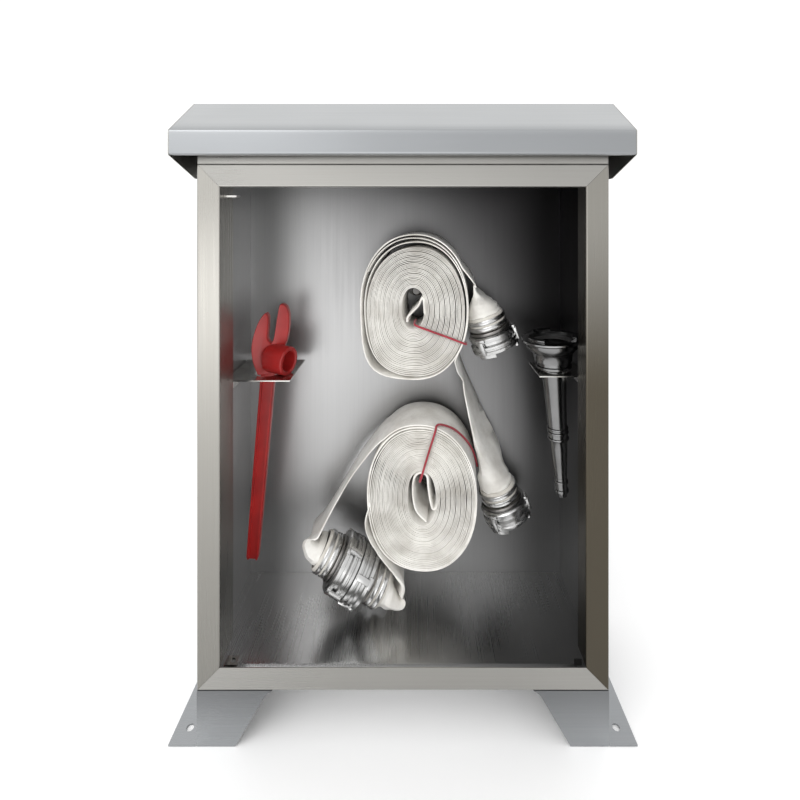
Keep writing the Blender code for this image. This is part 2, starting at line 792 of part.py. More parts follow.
make_box_panels()
make_front_frame()
make_threshold()
make_hood()
make_foot(-1, "left_foot")
make_foot(1, "right_foot")
make_fittings()
make_bracket(
    "spanner_bracket",
    *SPANNER_BRACKET,
    SPANNER_AT.z - SPANNER_REST,
    (SPANNER_AT.x, SPANNER_AT.y),
    SPANNER_HOLE_R,
)
NOZZLE_DROP = (NOZZLE_RIM.z - NOZZLE_BRACKET_Z) * NOZZLE_AXIS.x / -NOZZLE_AXIS.z
make_bracket(
    "nozzle_bracket",
    *NOZZLE_BRACKET,
    NOZZLE_BRACKET_Z,
    (NOZZLE_RIM.x + NOZZLE_DROP, NOZZLE_RIM.y),
    NOZZLE_HOLE_R,
)
PEG_RISE = VOID_HALF_H - PEG_R - 0.0035
MID_SHIFT = -math.tan(YAW) * HOSE_W / 2
for peg_name, face in (("upper_hose_peg", UPPER_ROLL), ("lower_hose_peg", LOWER_ROLL)):
    make_peg(peg_name, face + Vector((MID_SHIFT, 0, PEG_RISE)))
make_spanner()
make_nozzle()
make_upper_hose()
make_lower_hose()
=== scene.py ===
import math

import bmesh
import bpy
from mathutils import Matrix, Vector, noise


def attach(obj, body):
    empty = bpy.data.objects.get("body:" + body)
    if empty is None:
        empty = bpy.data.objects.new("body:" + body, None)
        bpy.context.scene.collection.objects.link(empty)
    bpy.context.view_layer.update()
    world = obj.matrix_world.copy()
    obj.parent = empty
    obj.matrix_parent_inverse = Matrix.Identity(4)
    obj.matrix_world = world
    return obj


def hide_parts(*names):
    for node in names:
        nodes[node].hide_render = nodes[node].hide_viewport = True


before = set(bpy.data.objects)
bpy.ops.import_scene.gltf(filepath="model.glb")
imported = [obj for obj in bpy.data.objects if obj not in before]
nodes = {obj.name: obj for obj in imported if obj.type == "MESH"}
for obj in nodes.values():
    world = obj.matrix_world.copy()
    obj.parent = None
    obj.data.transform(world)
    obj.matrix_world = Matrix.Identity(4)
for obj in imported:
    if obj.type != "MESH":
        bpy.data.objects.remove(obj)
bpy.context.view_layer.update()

# ---- sizes shared with the part, in metres ----
YAW = math.radians(-6.0)
HOSE_W = 0.105
UPPER = Vector((0.017, 0.015, 0.667))
LOWER = Vector((0.030, 0.015, 0.317))
TIE_D = 0.004
SPANNER_AT = Vector((-0.256, 0.037, 0.542))
SPANNER_AXIS = Vector((0.084, 0, 0.9965))
NOZZLE_RIM = Vector((0.268, 0.007, 0.6155))
NOZZLE_AXIS = Vector((0.065, 0, -0.998))
JOINT_CD = Vector((-0.0989, 0.037, 0.1725))
RING_A = Vector((0.1712, 0.064, 0.598))
RING_B = Vector((0.197, 0.077, 0.262))
HALF_RING = 0.017
SMALL_RING_R = 0.0455
LARGE_RING_R = 0.053

# ---- the camera, level, at the height and distance that the photograph was taken from ----
CAMERA_AT = (0.016, -0.833, 0.841)
CAMERA_LENS = 20.79
CAMERA_SENSOR = 36.0
CAMERA_SHIFT = (-0.0163, -0.234)


# ---- materials ----
def new_material(name, colour, metallic=0.0, rough=0.5, **sockets):
    """A principled material, and its nodes, links and shader, ready for more detail."""
    mat = bpy.data.materials.new(name)
    mat.use_nodes = True
    tree = mat.node_tree
    bsdf = tree.nodes["Principled BSDF"]
    bsdf.inputs["Base Color"].default_value = (*colour, 1.0)
    bsdf.inputs["Metallic"].default_value = metallic
    bsdf.inputs["Roughness"].default_value = rough
    for key, value in sockets.items():
        bsdf.inputs[key.replace("_", " ")].default_value = value
    return mat, tree, bsdf


def grain(tree, scale, detail=3.0, size=1.0):
    """Noise in the object's own space, stretched by scale on each axis."""
    coord = tree.nodes.new("ShaderNodeTexCoord")
    mapping = tree.nodes.new("ShaderNodeMapping")
    mapping.inputs["Scale"].default_value = scale
    tex = tree.nodes.new("ShaderNodeTexNoise")
    tex.inputs["Scale"].default_value = size
    tex.inputs["Detail"].default_value = detail
    tree.links.new(coord.outputs["Object"], mapping.inputs["Vector"])
    tree.links.new(mapping.outputs["Vector"], tex.inputs["Vector"])
    return tex.outputs["Fac"]


def remap(tree, value, low, high, start=0.3, end=0.7):
    """A noise value spread between low and high."""
    node = tree.nodes.new("ShaderNodeMapRange")
    node.inputs["From Min"].default_value = start
    node.inputs["From Max"].default_value = end
    node.inputs["To Min"].default_value = low
    node.inputs["To Max"].default_value = high
    tree.links.new(value, node.inputs["Value"])
    return node.outputs["Result"]


def two_colours(tree, bsdf, value, first, second):
    """The shader's colour goes from first to second as value goes from 0 to 1."""
    mix = tree.nodes.new("ShaderNodeMix")
    mix.data_type = "RGBA"
    mix.inputs["A"].default_value = (*first, 1.0)
    mix.inputs["B"].default_value = (*second, 1.0)
    tree.links.new(value, mix.inputs["Factor"])
    tree.links.new(mix.outputs["Result"], bsdf.inputs["Base Color"])
    return mix


def bumped(tree, bsdf, value, strength, distance=0.0005):
    """The shader's normal follows the value as a height."""
    bump = tree.nodes.new("ShaderNodeBump")
    bump.inputs["Strength"].default_value = strength
    bump.inputs["Distance"].default_value = distance
    tree.links.new(value, bump.inputs["Height"])
    tree.links.new(bump.outputs["Normal"], bsdf.inputs["Normal"])


def painted_light_ramp(tree, mix, weights, offset, deep):
    """Painted light and shade: darkens a colour towards `deep` where the weighted place falls towards 0."""
    coord = tree.nodes.new("ShaderNodeTexCoord")
    dot = tree.nodes.new("ShaderNodeVectorMath")
    dot.operation = "DOT_PRODUCT"
    dot.inputs[1].default_value = weights
    tree.links.new(coord.outputs["Object"], dot.inputs[0])
    ramp = tree.nodes.new("ShaderNodeMapRange")
    ramp.interpolation_type = "SMOOTHSTEP"
    ramp.inputs["From Min"].default_value = -offset
    ramp.inputs["From Max"].default_value = 1.0 - offset
    tree.links.new(dot.outputs["Value"], ramp.inputs["Value"])
    blend = tree.nodes.new("ShaderNodeMix")
    blend.data_type = "RGBA"
    blend.inputs["A"].default_value = (*deep, 1.0)
    tree.links.new(ramp.outputs["Result"], blend.inputs["Factor"])
    tree.links.new(mix.outputs["Result"], blend.inputs["B"])
    return blend


def brushed(name, light, dark, rough, along, shade=None):
    """Brushed sheet metal with its grain along the axis `along`; shade, when given, paints light and shade
    into its colour by place.
    """
    mat, tree, bsdf = new_material(name, light, 1.0, rough)
    fine = [700.0, 700.0, 700.0]
    fine[along] = 5.0
    lines = grain(tree, fine, 3.0)
    cloud = grain(tree, (4.0, 4.0, 2.5), 2.0)
    both = tree.nodes.new("ShaderNodeMath")
    both.operation = "MULTIPLY_ADD"
    both.inputs[1].default_value = 0.6
    tree.links.new(lines, both.inputs[0])
    tree.links.new(remap(tree, cloud, 0.0, 0.4), both.inputs[2])
    mix = two_colours(tree, bsdf, remap(tree, both.outputs[0], 0.0, 1.0, 0.2, 0.8), light, dark)
    if shade:
        tree.links.new(painted_light_ramp(tree, mix, *shade).outputs["Result"], bsdf.inputs["Base Color"])
    tree.links.new(remap(tree, both.outputs[0], rough - 0.04, rough + 0.05), bsdf.inputs["Roughness"])
    bumped(tree, bsdf, lines, 0.018)
    return mat


# The inside of the cabinet darkens towards its upper right: painted shade, where the box shades its own
# inside.
INSIDE_PAINTED_SHADE = ((-1.30, 0.0, -0.80), 1.02, (0.030, 0.029, 0.030))
# Painted reflections: each stile darkens towards the bottom, and the right stile is a darker copy of the
# left.
steel_left_painted_reflection = brushed("steel_left_stile", (0.37, 0.36, 0.335), (0.33, 0.32, 0.295), 0.30, 2,
                     ((0.0, 0.0, 1.1), 0.15, (0.22, 0.213, 0.195)))
steel_right_painted_reflection = brushed("steel_right_stile", (0.30, 0.29, 0.265), (0.26, 0.25, 0.225), 0.30, 2,
                      ((0.0, 0.0, 3.2), -1.75, (0.080, 0.070, 0.053)))
steel_up = brushed("steel_grain_up", (0.50, 0.49, 0.465), (0.44, 0.43, 0.40), 0.32, 2)
# Painted shade: the feet darken towards their tops, under the cabinet.
steel_foot_painted_shade = brushed("steel_foot_painted_shade", (0.36, 0.37, 0.38), (0.31, 0.32, 0.33), 0.30, 0,
                     ((0.0, 0.0, -9.0), 0.95, (0.17, 0.175, 0.18)))
steel_across = brushed("steel_grain_across", (0.36, 0.353, 0.335), (0.32, 0.313, 0.295), 0.30, 0)
# Painted reflection of the sky: the hood roof, above the fascia, is lighter than the fascia below it.
steel_fascia_painted_reflection = brushed("steel_fascia_painted_reflection", (0.52, 0.53, 0.535), (0.47, 0.48, 0.485), 0.36, 0,
                       ((0.0, 0.0, 40.0), -38.3, (0.30, 0.31, 0.32)))
# Painted shade on the inside walls and the floor of the cabinet.
steel_inside_painted_shade = brushed("steel_inside_painted_shade", (0.46, 0.46, 0.46), (0.415, 0.415, 0.415), 0.38, 2, INSIDE_PAINTED_SHADE)
steel_floor_painted_shade = brushed("steel_floor_painted_shade", (0.60, 0.60, 0.60), (0.54, 0.54, 0.54), 0.28, 1, INSIDE_PAINTED_SHADE)


def cast_metal(name, light, dark, rough, size=160.0, strength=0.12, metallic=1.0):
    """Cast or turned metal with faint handling marks."""
    mat, tree, bsdf = new_material(name, light, metallic, rough)
    spots = grain(tree, (1.0, 1.0, 1.0), 5.0, size)
    wide = grain(tree, (1.0, 1.0, 1.0), 2.0, 22.0)
    two_colours(tree, bsdf, remap(tree, wide, 0.0, 1.0), light, dark)
    tree.links.new(remap(tree, wide, rough - 0.02, rough + 0.03), bsdf.inputs["Roughness"])
    bumped(tree, bsdf, spots, strength, 0.0003)
    return mat


aluminium = cast_metal("cast_aluminium", (0.60, 0.60, 0.595), (0.48, 0.48, 0.475), 0.27, strength=0.03)
turned_metal = cast_metal("turned_metal", (0.24, 0.24, 0.24), (0.19, 0.19, 0.19), 0.22, strength=0.01)
aluminium_dark = cast_metal("cast_aluminium_dark", (0.30, 0.29, 0.28), (0.16, 0.155, 0.15), 0.34,
                            strength=0.04)
dark_steel = cast_metal("dark_steel", (0.16, 0.155, 0.15), (0.07, 0.068, 0.065), 0.36)
bright_steel = cast_metal("bright_steel", (0.70, 0.69, 0.66), (0.48, 0.47, 0.45), 0.24)
black_rubber = cast_metal("black_rubber", (0.020, 0.020, 0.021), (0.035, 0.034, 0.033), 0.62, metallic=0.0)
red_paint = cast_metal("red_paint", (0.42, 0.020, 0.018), (0.27, 0.012, 0.012), 0.34, 220.0, 0.2, 0.0)


def canvas_material(name, clean, worn, weave=1400.0):
    """Woven hose jacket, with a fine weave and soft stains."""
    mat, tree, bsdf = new_material(name, clean, 0.0, 0.86, Sheen_Weight=0.25, Sheen_Roughness=0.5)
    stains = grain(tree, (1.0, 1.0, 1.0), 5.0, 26.0)
    two_colours(tree, bsdf, remap(tree, stains, 0.0, 1.0, 0.38, 0.72), clean, worn)
    threads = grain(tree, (weave, weave, weave), 1.0)
    creases = grain(tree, (38.0, 38.0, 60.0), 3.0)
    height = tree.nodes.new("ShaderNodeMath")
    height.operation = "MULTIPLY_ADD"
    height.inputs[1].default_value = 0.22
    tree.links.new(threads, height.inputs[0])
    tree.links.new(creases, height.inputs[2])
    bumped(tree, bsdf, height.outputs[0], 0.55, 0.0022)
    return mat


canvas = canvas_material("hose_canvas", (0.84, 0.825, 0.785), (0.60, 0.575, 0.53))
canvas_tail = canvas_material("hose_canvas_tail", (0.70, 0.675, 0.62), (0.44, 0.41, 0.37))
cord_red = canvas_material("cord_red", (0.34, 0.025, 0.042), (0.22, 0.014, 0.024), 900.0)

# The material of each piece of the part; gaskets, couplings and hoses follow below.
BY_NODE = {
    "back_panel": steel_inside_painted_shade, "left_side_panel": steel_inside_painted_shade, "right_side_panel": steel_inside_painted_shade,
    "top_panel": steel_inside_painted_shade, "floor_panel": steel_floor_painted_shade, "threshold_strip": steel_floor_painted_shade,
    "frame_left_stile": steel_left_painted_reflection, "frame_right_stile": steel_right_painted_reflection,
    "frame_top_rail": steel_across, "frame_bottom_rail": steel_across,
    "hood_roof": steel_fascia_painted_reflection, "hood_left_cheek": steel_up, "hood_right_cheek": steel_up,
    "hood_neck": steel_across, "left_foot": steel_foot_painted_shade, "right_foot": steel_foot_painted_shade,
    "strike_tab": steel_inside_painted_shade, "hinge_plate_lower": bright_steel, "hinge_plate_upper": bright_steel,
    "spanner_bracket": bright_steel, "nozzle_bracket": bright_steel,
    "upper_hose_peg": dark_steel, "lower_hose_peg": dark_steel, "spanner": red_paint,
    "nozzle_coupling": aluminium, "nozzle_gasket": black_rubber, "nozzle_body": aluminium,
    "nozzle_tip": aluminium, "upper_tie": cord_red, "lower_tie": cord_red,
}


def paint(obj, mat):
    """The object has this one material."""
    obj.data.materials.clear()
    obj.data.materials.append(mat)


for node_name, node in nodes.items():
    if node_name in BY_NODE:
        paint(node, BY_NODE[node_name])
    elif node_name.endswith("gasket"):
        paint(node, black_rubber)
    elif "coupling" in node_name:
        paint(node, aluminium)
    else:
        paint(node, canvas)


# ---- shapes ----
def in_roll(face, u, v, w):
    """A point given as (across, up, depth) from the centre of a roll's face."""
    return face + Vector((math.cos(YAW) * u - math.sin(YAW) * w, math.sin(YAW) * u + math.cos(YAW) * w, v))


def smooth(points, steps):
    """Catmull-Rom curve through the points, ends included."""
    pts = [Vector(p) for p in points]
    ends = [pts[0] * 2 - pts[1]] + pts + [pts[-1] * 2 - pts[-2]]
    out = []
    for i in range(1, len(ends) - 2):
        p0, p1, p2, p3 = ends[i - 1:i + 3]
        for k in range(steps):
            t = k / steps
            out.append(0.5 * (2 * p1 + (p2 - p0) * t + (2 * p0 - 5 * p1 + 4 * p2 - p3) * t * t
                              + (3 * p1 - p0 - 3 * p2 + p3) * t ** 3))
    out.append(pts[-1])
    return out


def link(obj):
    """Puts the object in the scene, and returns it."""
    bpy.context.scene.collection.objects.link(obj)
    return obj


def cord_curve(name, points, mat):
    """A round cord along the points."""
    curve = bpy.data.curves.new(name, "CURVE")
    curve.dimensions = "3D"
    curve.bevel_depth = TIE_D / 2
    curve.bevel_resolution = 3
    curve.use_fill_caps = True
    spline = curve.splines.new("POLY")
    spline.points.add(len(points) - 1)
    for point, co in zip(spline.points, points):
        point.co = (*co, 1.0)
    curve.materials.append(mat)
    return link(bpy.data.objects.new(name, curve))


# The ties, as points (across, up, depth) from the centre of each roll's face.
UPPER_TIE = ((.001, -.029, .030), (.001, -.030, .006), (.006, -.0325, -.0035), (.030, -.041, -.0036),
             (.060, -.051, -.0036), (.088, -.061, -.0032), (.0955, -.065, .002), (.096, -.067, .014),
             (.0955, -.069, .028))
LOWER_TIE = ((-.002, .029, .030), (-.002, .030, .006), (0, .035, -.0035), (.009, .066, -.0036),
             (.018, .096, -.0036), (.027, .125, -.0036), (.030, .134, .003), (.042, .130, .014),
             (.062, .116, .028), (.083, .090, .044), (.0975, .060, .060), (.1055, .025, .074))
for side, face, route in (("upper", UPPER, UPPER_TIE), ("lower", LOWER, LOWER_TIE)):
    path = smooth([in_roll(face, *p) for p in route], 8)
    tie = cord_curve(side + "_tie_cord", path, cord_red)
    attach(tie, side + "_hose")
    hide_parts(side + "_tie")


# ---- solid shapes ----
def body_from(name, bm, mat, body, replaced=(), sharp=38.0):
    """A finished piece from a bmesh: outward faces, smooth shading, riding on its body."""
    bmesh.ops.recalc_face_normals(bm, faces=bm.faces)
    mesh = bpy.data.meshes.new(name)
    bm.to_mesh(mesh)
    bm.free()
    for face in mesh.polygons:
        face.use_smooth = True
    mesh.set_sharp_from_angle(angle=math.radians(sharp))
    mesh.materials.append(mat)
    obj = link(bpy.data.objects.new(name, mesh))
    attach(obj, body)
    if replaced:
        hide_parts(*replaced)
    return obj


def basis(origin, axis):
    """A frame at origin with z along axis and x leaning towards the open front."""
    z = Vector(axis).normalized()
    x = Vector((0, -1, 0))
    x = (x - z * x.dot(z)).normalized()
    y = z.cross(x)
    turned = Matrix((x, y, z)).transposed().to_4x4()
    return Matrix.Translation(origin) @ turned


def revolve(bm, place, profile, steps=72, start=0.0, sweep=2 * math.pi):
    """A closed (radius, height) profile turned about place's z axis; capped when it isn't a full turn."""
    full = abs(sweep - 2 * math.pi) < 1e-6
    rings = []
    for k in range(steps if full else steps + 1):
        angle = start + sweep * k / steps
        c, s = math.cos(angle), math.sin(angle)
        rings.append([bm.verts.new(place @ Vector((r * c, r * s, z))) for r, z in profile])
    pairs = zip(rings, rings[1:] + rings[:1]) if full else zip(rings, rings[1:])
    count = len(profile)
    for a, b in pairs:
        for i in range(count):
            j = (i + 1) % count
            bm.faces.new((a[i], a[j], b[j], b[i]))
    if not full:
        bm.faces.new(rings[0])
        bm.faces.new(rings[-1])


def block(bm, place, centre, size, bevel):
    """A bevelled block in place's frame."""
    made = bmesh.ops.create_cube(bm, size=1.0)["verts"]
    bmesh.ops.scale(bm, vec=size, verts=made)
    bmesh.ops.translate(bm, vec=centre, verts=made)
    edges = list({e for v in made for e in v.link_edges})
    out = bmesh.ops.bevel(bm, geom=edges, offset=bevel, segments=2, affect="EDGES", profile=0.5)
    verts = {v for f in out["faces"] for v in f.verts}
    bmesh.ops.transform(bm, matrix=place, verts=list(verts))


def rod(bm, place, base, along, radius, length, steps=24, chamfer=0.0004):
    """A short round or hexagonal bar in place's frame."""
    local = basis(base, along)
    profile = [(0.0001, 0), (radius - chamfer, 0), (radius, chamfer), (radius, length - chamfer),
               (radius - chamfer, length), (0.0001, length)]
    revolve(bm, place @ local, profile, steps)


# ---- hoses ----
HOSE_T = 0.0015  # both walls of the flattened hose
FOLD_T = 0.0036  # the fold in the middle of a roll
# The hose wall's section, in widths and thicknesses.
SECTION = ((-.5, 0), (-.497, .32), (-.488, .5), (-.2, .46), (.2, .46), (.488, .5), (.5, 0), (.488, -.5),
           (.2, -.46), (-.2, -.46), (-.488, -.5), (-.497, -.32))


def loft(bm, stations):
    """A hose wall through (centre, across, width, thickness): flat where thin, round where thick."""
    rings = []
    last = len(stations) - 1
    for k, (centre, across, width, thick) in enumerate(stations):
        ahead = (stations[min(k + 1, last)][0] - stations[max(k - 1, 0)][0]).normalized()
        side = (across - ahead * across.dot(ahead)).normalized()
        through = ahead.cross(side)
        roundness = min(1.0, max(0.0, (thick / width - 0.08) / 0.35))
        ring = []
        for s, t in SECTION:
            angle = math.atan2(t * 1.3, s)
            flat = (s * width, t * thick)
            curved = (math.cos(angle) * width / 2, math.sin(angle) * thick / 2)
            x = flat[0] * (1 - roundness) + curved[0] * roundness
            y = flat[1] * (1 - roundness) + curved[1] * roundness
            ring.append(bm.verts.new(centre + side * x + through * y))
        rings.append(ring)
    count = len(SECTION)
    for a, b in zip(rings, rings[1:]):
        for i in range(count):
            j = (i + 1) % count
            bm.faces.new((a[i], a[j], b[j], b[i]))
    bm.faces.new(rings[0])
    bm.faces.new(rings[-1])


def outline(phi, half_w, half_h, boxy):
    """A point of a rounded oval; boxy squares it off towards its lower left."""
    c, s = math.cos(phi), math.sin(phi)
    power = 2.15 + (boxy * max(0.0, c * s) * 2.4 if c < 0 and s < 0 else 0.0)
    scale = (abs(c) ** power + abs(s) ** power) ** (-1 / power)
    return c * scale * half_w, s * scale * half_h


# A roll is wound in groups of turns, with a small gap after each group.
STEPS_PER_TURN = 64
GROUP_TURNS = 4.0
GROUP_SLOPE = 0.9
GROUP_GAP = 0.39975


def wound(turn_way, first_phi, void, tight, outer, tight_turns, total, boxy):
    """Samples (across, up, lift, thickness) of a rolled flat hose, from the void out.

    Each size is (centre across, centre up, half width, half height). The tight turns lie in
    groups with a thin gap between them, and the turns past them are loose.
    """
    steps = int(total * STEPS_PER_TURN)
    out = []
    run = 0.0
    before = None
    for k in range(steps + 1):
        turn = total * k / steps
        phi = first_phi + turn_way * 2 * math.pi * turn
        if turn <= tight_turns:
            whole = math.floor(turn / GROUP_TURNS)
            part = turn / GROUP_TURNS - whole
            eased = min(1.0, part * GROUP_SLOPE + max(0.0, part - 0.75) * GROUP_GAP)
            spread = min(1.0, max(0.0, (whole + eased) * GROUP_TURNS / tight_turns))
            low, high, mix, square = void, tight, spread, boxy * 0.25 * spread
        else:
            mix = (turn - tight_turns) / (total - tight_turns)
            low, high, square = tight, outer, boxy * mix
        cu, cv, hw, hh = (a + (b - a) * mix for a, b in zip(low, high))
        u, v = outline(phi, hw, hh, square)
        slack = noise.noise(Vector((math.cos(phi) * 1.7, math.sin(phi) * 1.7, turn * 0.22 + 3.1)))
        ease = min(1.0, turn / 3.0) * (1.0 if turn < tight_turns else 0.5)
        grow = 1 + slack * 0.012 * ease
        point = Vector((cu + u * grow, cv + v * grow))
        if before is not None:
            run += (point - before).length
        before = point
        lift = noise.noise(Vector((run * 5.0, 7.7, 0.3))) * 0.0016
        thick = HOSE_T + 0.0012 * min(1.0, max(0.0, (turn - tight_turns) / 1.5))
        out.append((point.x, point.y, lift, thick))
    return out


def in_face(face, samples):
    """Stations of a wall that stands across the depth of a roll, from its samples."""
    across = in_roll(Vector(), 0, 0, 1)
    out = []
    for u, v, lift, thick in samples:
        out.append((in_roll(face, u, v, HOSE_W / 2 + lift), across, HOSE_W, thick))
    return out


def smooth_stations(stations, steps):
    """Stations in between the given ones, with a slight ripple in width and thickness."""
    centres = smooth([s[0] for s in stations], steps)
    acrosses = smooth([Vector(s[1]).normalized() for s in stations], steps)
    sizes = smooth([Vector((s[2], s[3], 0)) for s in stations], steps)
    out = []
    for k, (centre, across, size) in enumerate(zip(centres, acrosses, sizes)):
        ripple = noise.noise(Vector((k * 0.35, size.x * 40, 5.0)))
        width = max(0.02, size.x) * (1 + ripple * 0.03)
        thick = max(HOSE_T, size.y * (1 + ripple * 0.10))
        out.append((centre, across.normalized(), width, thick))
    return out


SHANK_BACK = 0.0686  # from a coupling's mouth to the back of its cuff
CUFF_R = 0.0335
COUPLINGS = {}
AXIS_AB = Vector((0.342, 0, -0.940)).normalized()
AXIS_C = Vector((0.848, 0, -0.530)).normalized()
for letter, axis, mouth, ring_r, body in (
    ("a", AXIS_AB, RING_A + AXIS_AB * HALF_RING, SMALL_RING_R, "coupling_a_head"),
    ("b", AXIS_AB, RING_B + AXIS_AB * HALF_RING, SMALL_RING_R, "coupling_b_head"),
    ("c", AXIS_C, JOINT_CD, LARGE_RING_R, "coupling_cd_head"),
    ("d", -AXIS_C, JOINT_CD, LARGE_RING_R, "coupling_cd_head"),
):
    COUPLINGS[letter] = (mouth, axis, ring_r, body)


def tail_end(letter, across, flats=(0.80, 1.0)):
    """The last stations of a hose end, round and straight into its coupling."""
    mouth, axis, _, _ = COUPLINGS[letter]
    return [(mouth - axis * (SHANK_BACK + back), across, 2 * radius, 2 * radius * flat)
            for back, radius, flat in ((0.016, CUFF_R + 0.002, flats[0]), (0.0, CUFF_R, flats[1]))]


def hose(name, body, strands, replaced):
    """All of one hose as a single flat woven wall."""
    bm = bmesh.new()
    for stations in strands:
        loft(bm, stations)
    obj = body_from(name, bm, canvas, body, replaced, 60.0)


def make_upper_hose():
    void = (-0.001, -0.003, 0.0215, 0.038)
    tight = (0.003, -0.007, 0.0905, 0.1175)
    outer = (0.0, 0.0, 0.1025, 0.1362)
    roll = wound(-1, math.radians(-10), void, tight, outer, 30, 32.82 - 338 / 360, 1.7)
    tongue = smooth([(-.012, -.027, 0), (-.011, -.018, 0), (-.001, -.007, 0), (.0090, .004, 0),
                     (.0140, .0155, 0),
                     (.0165, .0175, 0), (.0185, .012, 0), (roll[0][0], roll[0][1], 0)], 7)[:-1]
    main = in_face(UPPER, [(p.x, p.y, 0, FOLD_T) for p in tongue] + roll)
    across = (0.12, 1, 0)
    tail_a = [main[-6], main[-1]]
    tail_a += [((0.1315, 0.0680, 0.7130), across, 0.100, 0.0024),
               ((0.1385, 0.0660, 0.6890), (0.15, 1, 0), 0.090, 0.008)]
    tail_a += tail_end("a", (0.2, 1, 0))
    main += smooth_stations(tail_a, 9)[10:]
    inner = (0.0012, -0.0025, 0.0985, 0.1300)
    strand = []
    for k in range(60):
        phi = math.radians(150 - 190 * k / 59)
        u, v = outline(phi, inner[2], inner[3], 0)
        strand.append((inner[0] + u, inner[1] + v, noise.noise(Vector((k * 0.1, 2.2, 0))) * 0.001, 0.0020))
    second = in_face(UPPER, strand)
    tail_b = [second[-5], second[-1]]
    tail_b += [((0.1130, 0.0870, 0.5300), (0.1, 1, 0), 0.088, 0.0026),
               ((0.1300, 0.0860, 0.4750), (0.3, 1, 0), 0.084, 0.0028),
               ((0.1490, 0.0840, 0.4150), (0.5, 1, 0), 0.082, 0.0050),
               ((0.1660, 0.0810, 0.3680), (0.7, 1, 0.1), 0.078, 0.018)]
    tail_b += tail_end("b", (0.8, 1, 0.2))
    second += smooth_stations(tail_b, 9)[10:]
    hose("upper_hose_canvas", "upper_hose", [main, second],
         ("upper_hose_roll", "upper_hose_tail_a", "upper_hose_tail_b"))


def make_lower_hose():
    void = (0.002, 0.000, 0.0265, 0.050)
    tight = (0.002, -0.003, 0.0945, 0.1255)
    outer = (0.0, 0.0, 0.1030, 0.1345)
    roll = wound(1, math.radians(-20), void, tight, outer, 29, 31 + 150 / 360, 0.3)
    tongue = smooth([(.010, -.043, 0), (-.008, -.024, 0), (-.0145, .006, 0), (-.0125, .034, 0),
                     (-.002, .0455, 0),
                     (.0110, .041, 0), (.0140, .020, 0), (.0175, -.004, 0), (.0215, -.018, 0),
                     (.0260, -.019, 0), (roll[0][0], roll[0][1], 0)], 7)[:-1]
    main = in_face(LOWER, [(p.x, p.y, 0, FOLD_T) for p in tongue] + roll)
    across = (0.1, 1, 0)
    tail_c = [main[-8], main[-1]]
    tail_c += [((-0.0820, 0.0660, 0.3700), across, 0.103, 0.0022),
               ((-0.1180, 0.0620, 0.3140), across, 0.102, 0.0024),
               ((-0.1530, 0.0540, 0.2560), (0.05, 1, 0), 0.094, 0.0030),
               ((-0.1730, 0.0450, 0.2320), (0, 1, 0), 0.086, 0.0060)]
    tail_c += tail_end("c", (0, 1, 0), (0.42, 0.80))
    main += smooth_stations(tail_c, 10)[11:]
    strand = []
    for k in range(50):
        phi = math.radians(40 + 150 * k / 49)
        u, v = outline(phi, 0.0990, 0.1302, 0)
        strand.append((0.001 + u, -0.0015 + v, noise.noise(Vector((k * 0.1, 9.2, 0))) * 0.001, 0.0020))
    second = in_face(LOWER, strand)
    tail_d = [second[-5], second[-1]]
    tail_d += [((-0.0655, 0.0670, 0.2560), across, 0.103, 0.0022),
               ((-0.0420, 0.0660, 0.2110), across, 0.101, 0.0022),
               ((-0.0160, 0.0600, 0.1760), (0.05, 1, 0), 0.094, 0.0030),
               ((-0.0040, 0.0520, 0.1480), (0, 1, 0), 0.082, 0.0060),
               ((-0.0150, 0.0440, 0.1255), (0, 1, 0), 0.074, 0.0080)]
    tail_d += tail_end("d", (0, 1, 0), (0.45, 0.82))
    second += smooth_stations(tail_d, 10)[11:]
    hose("lower_hose_canvas", "lower_hose", [main, second],
         ("lower_hose_roll", "lower_hose_tail_c", "lower_hose_tail_d"))


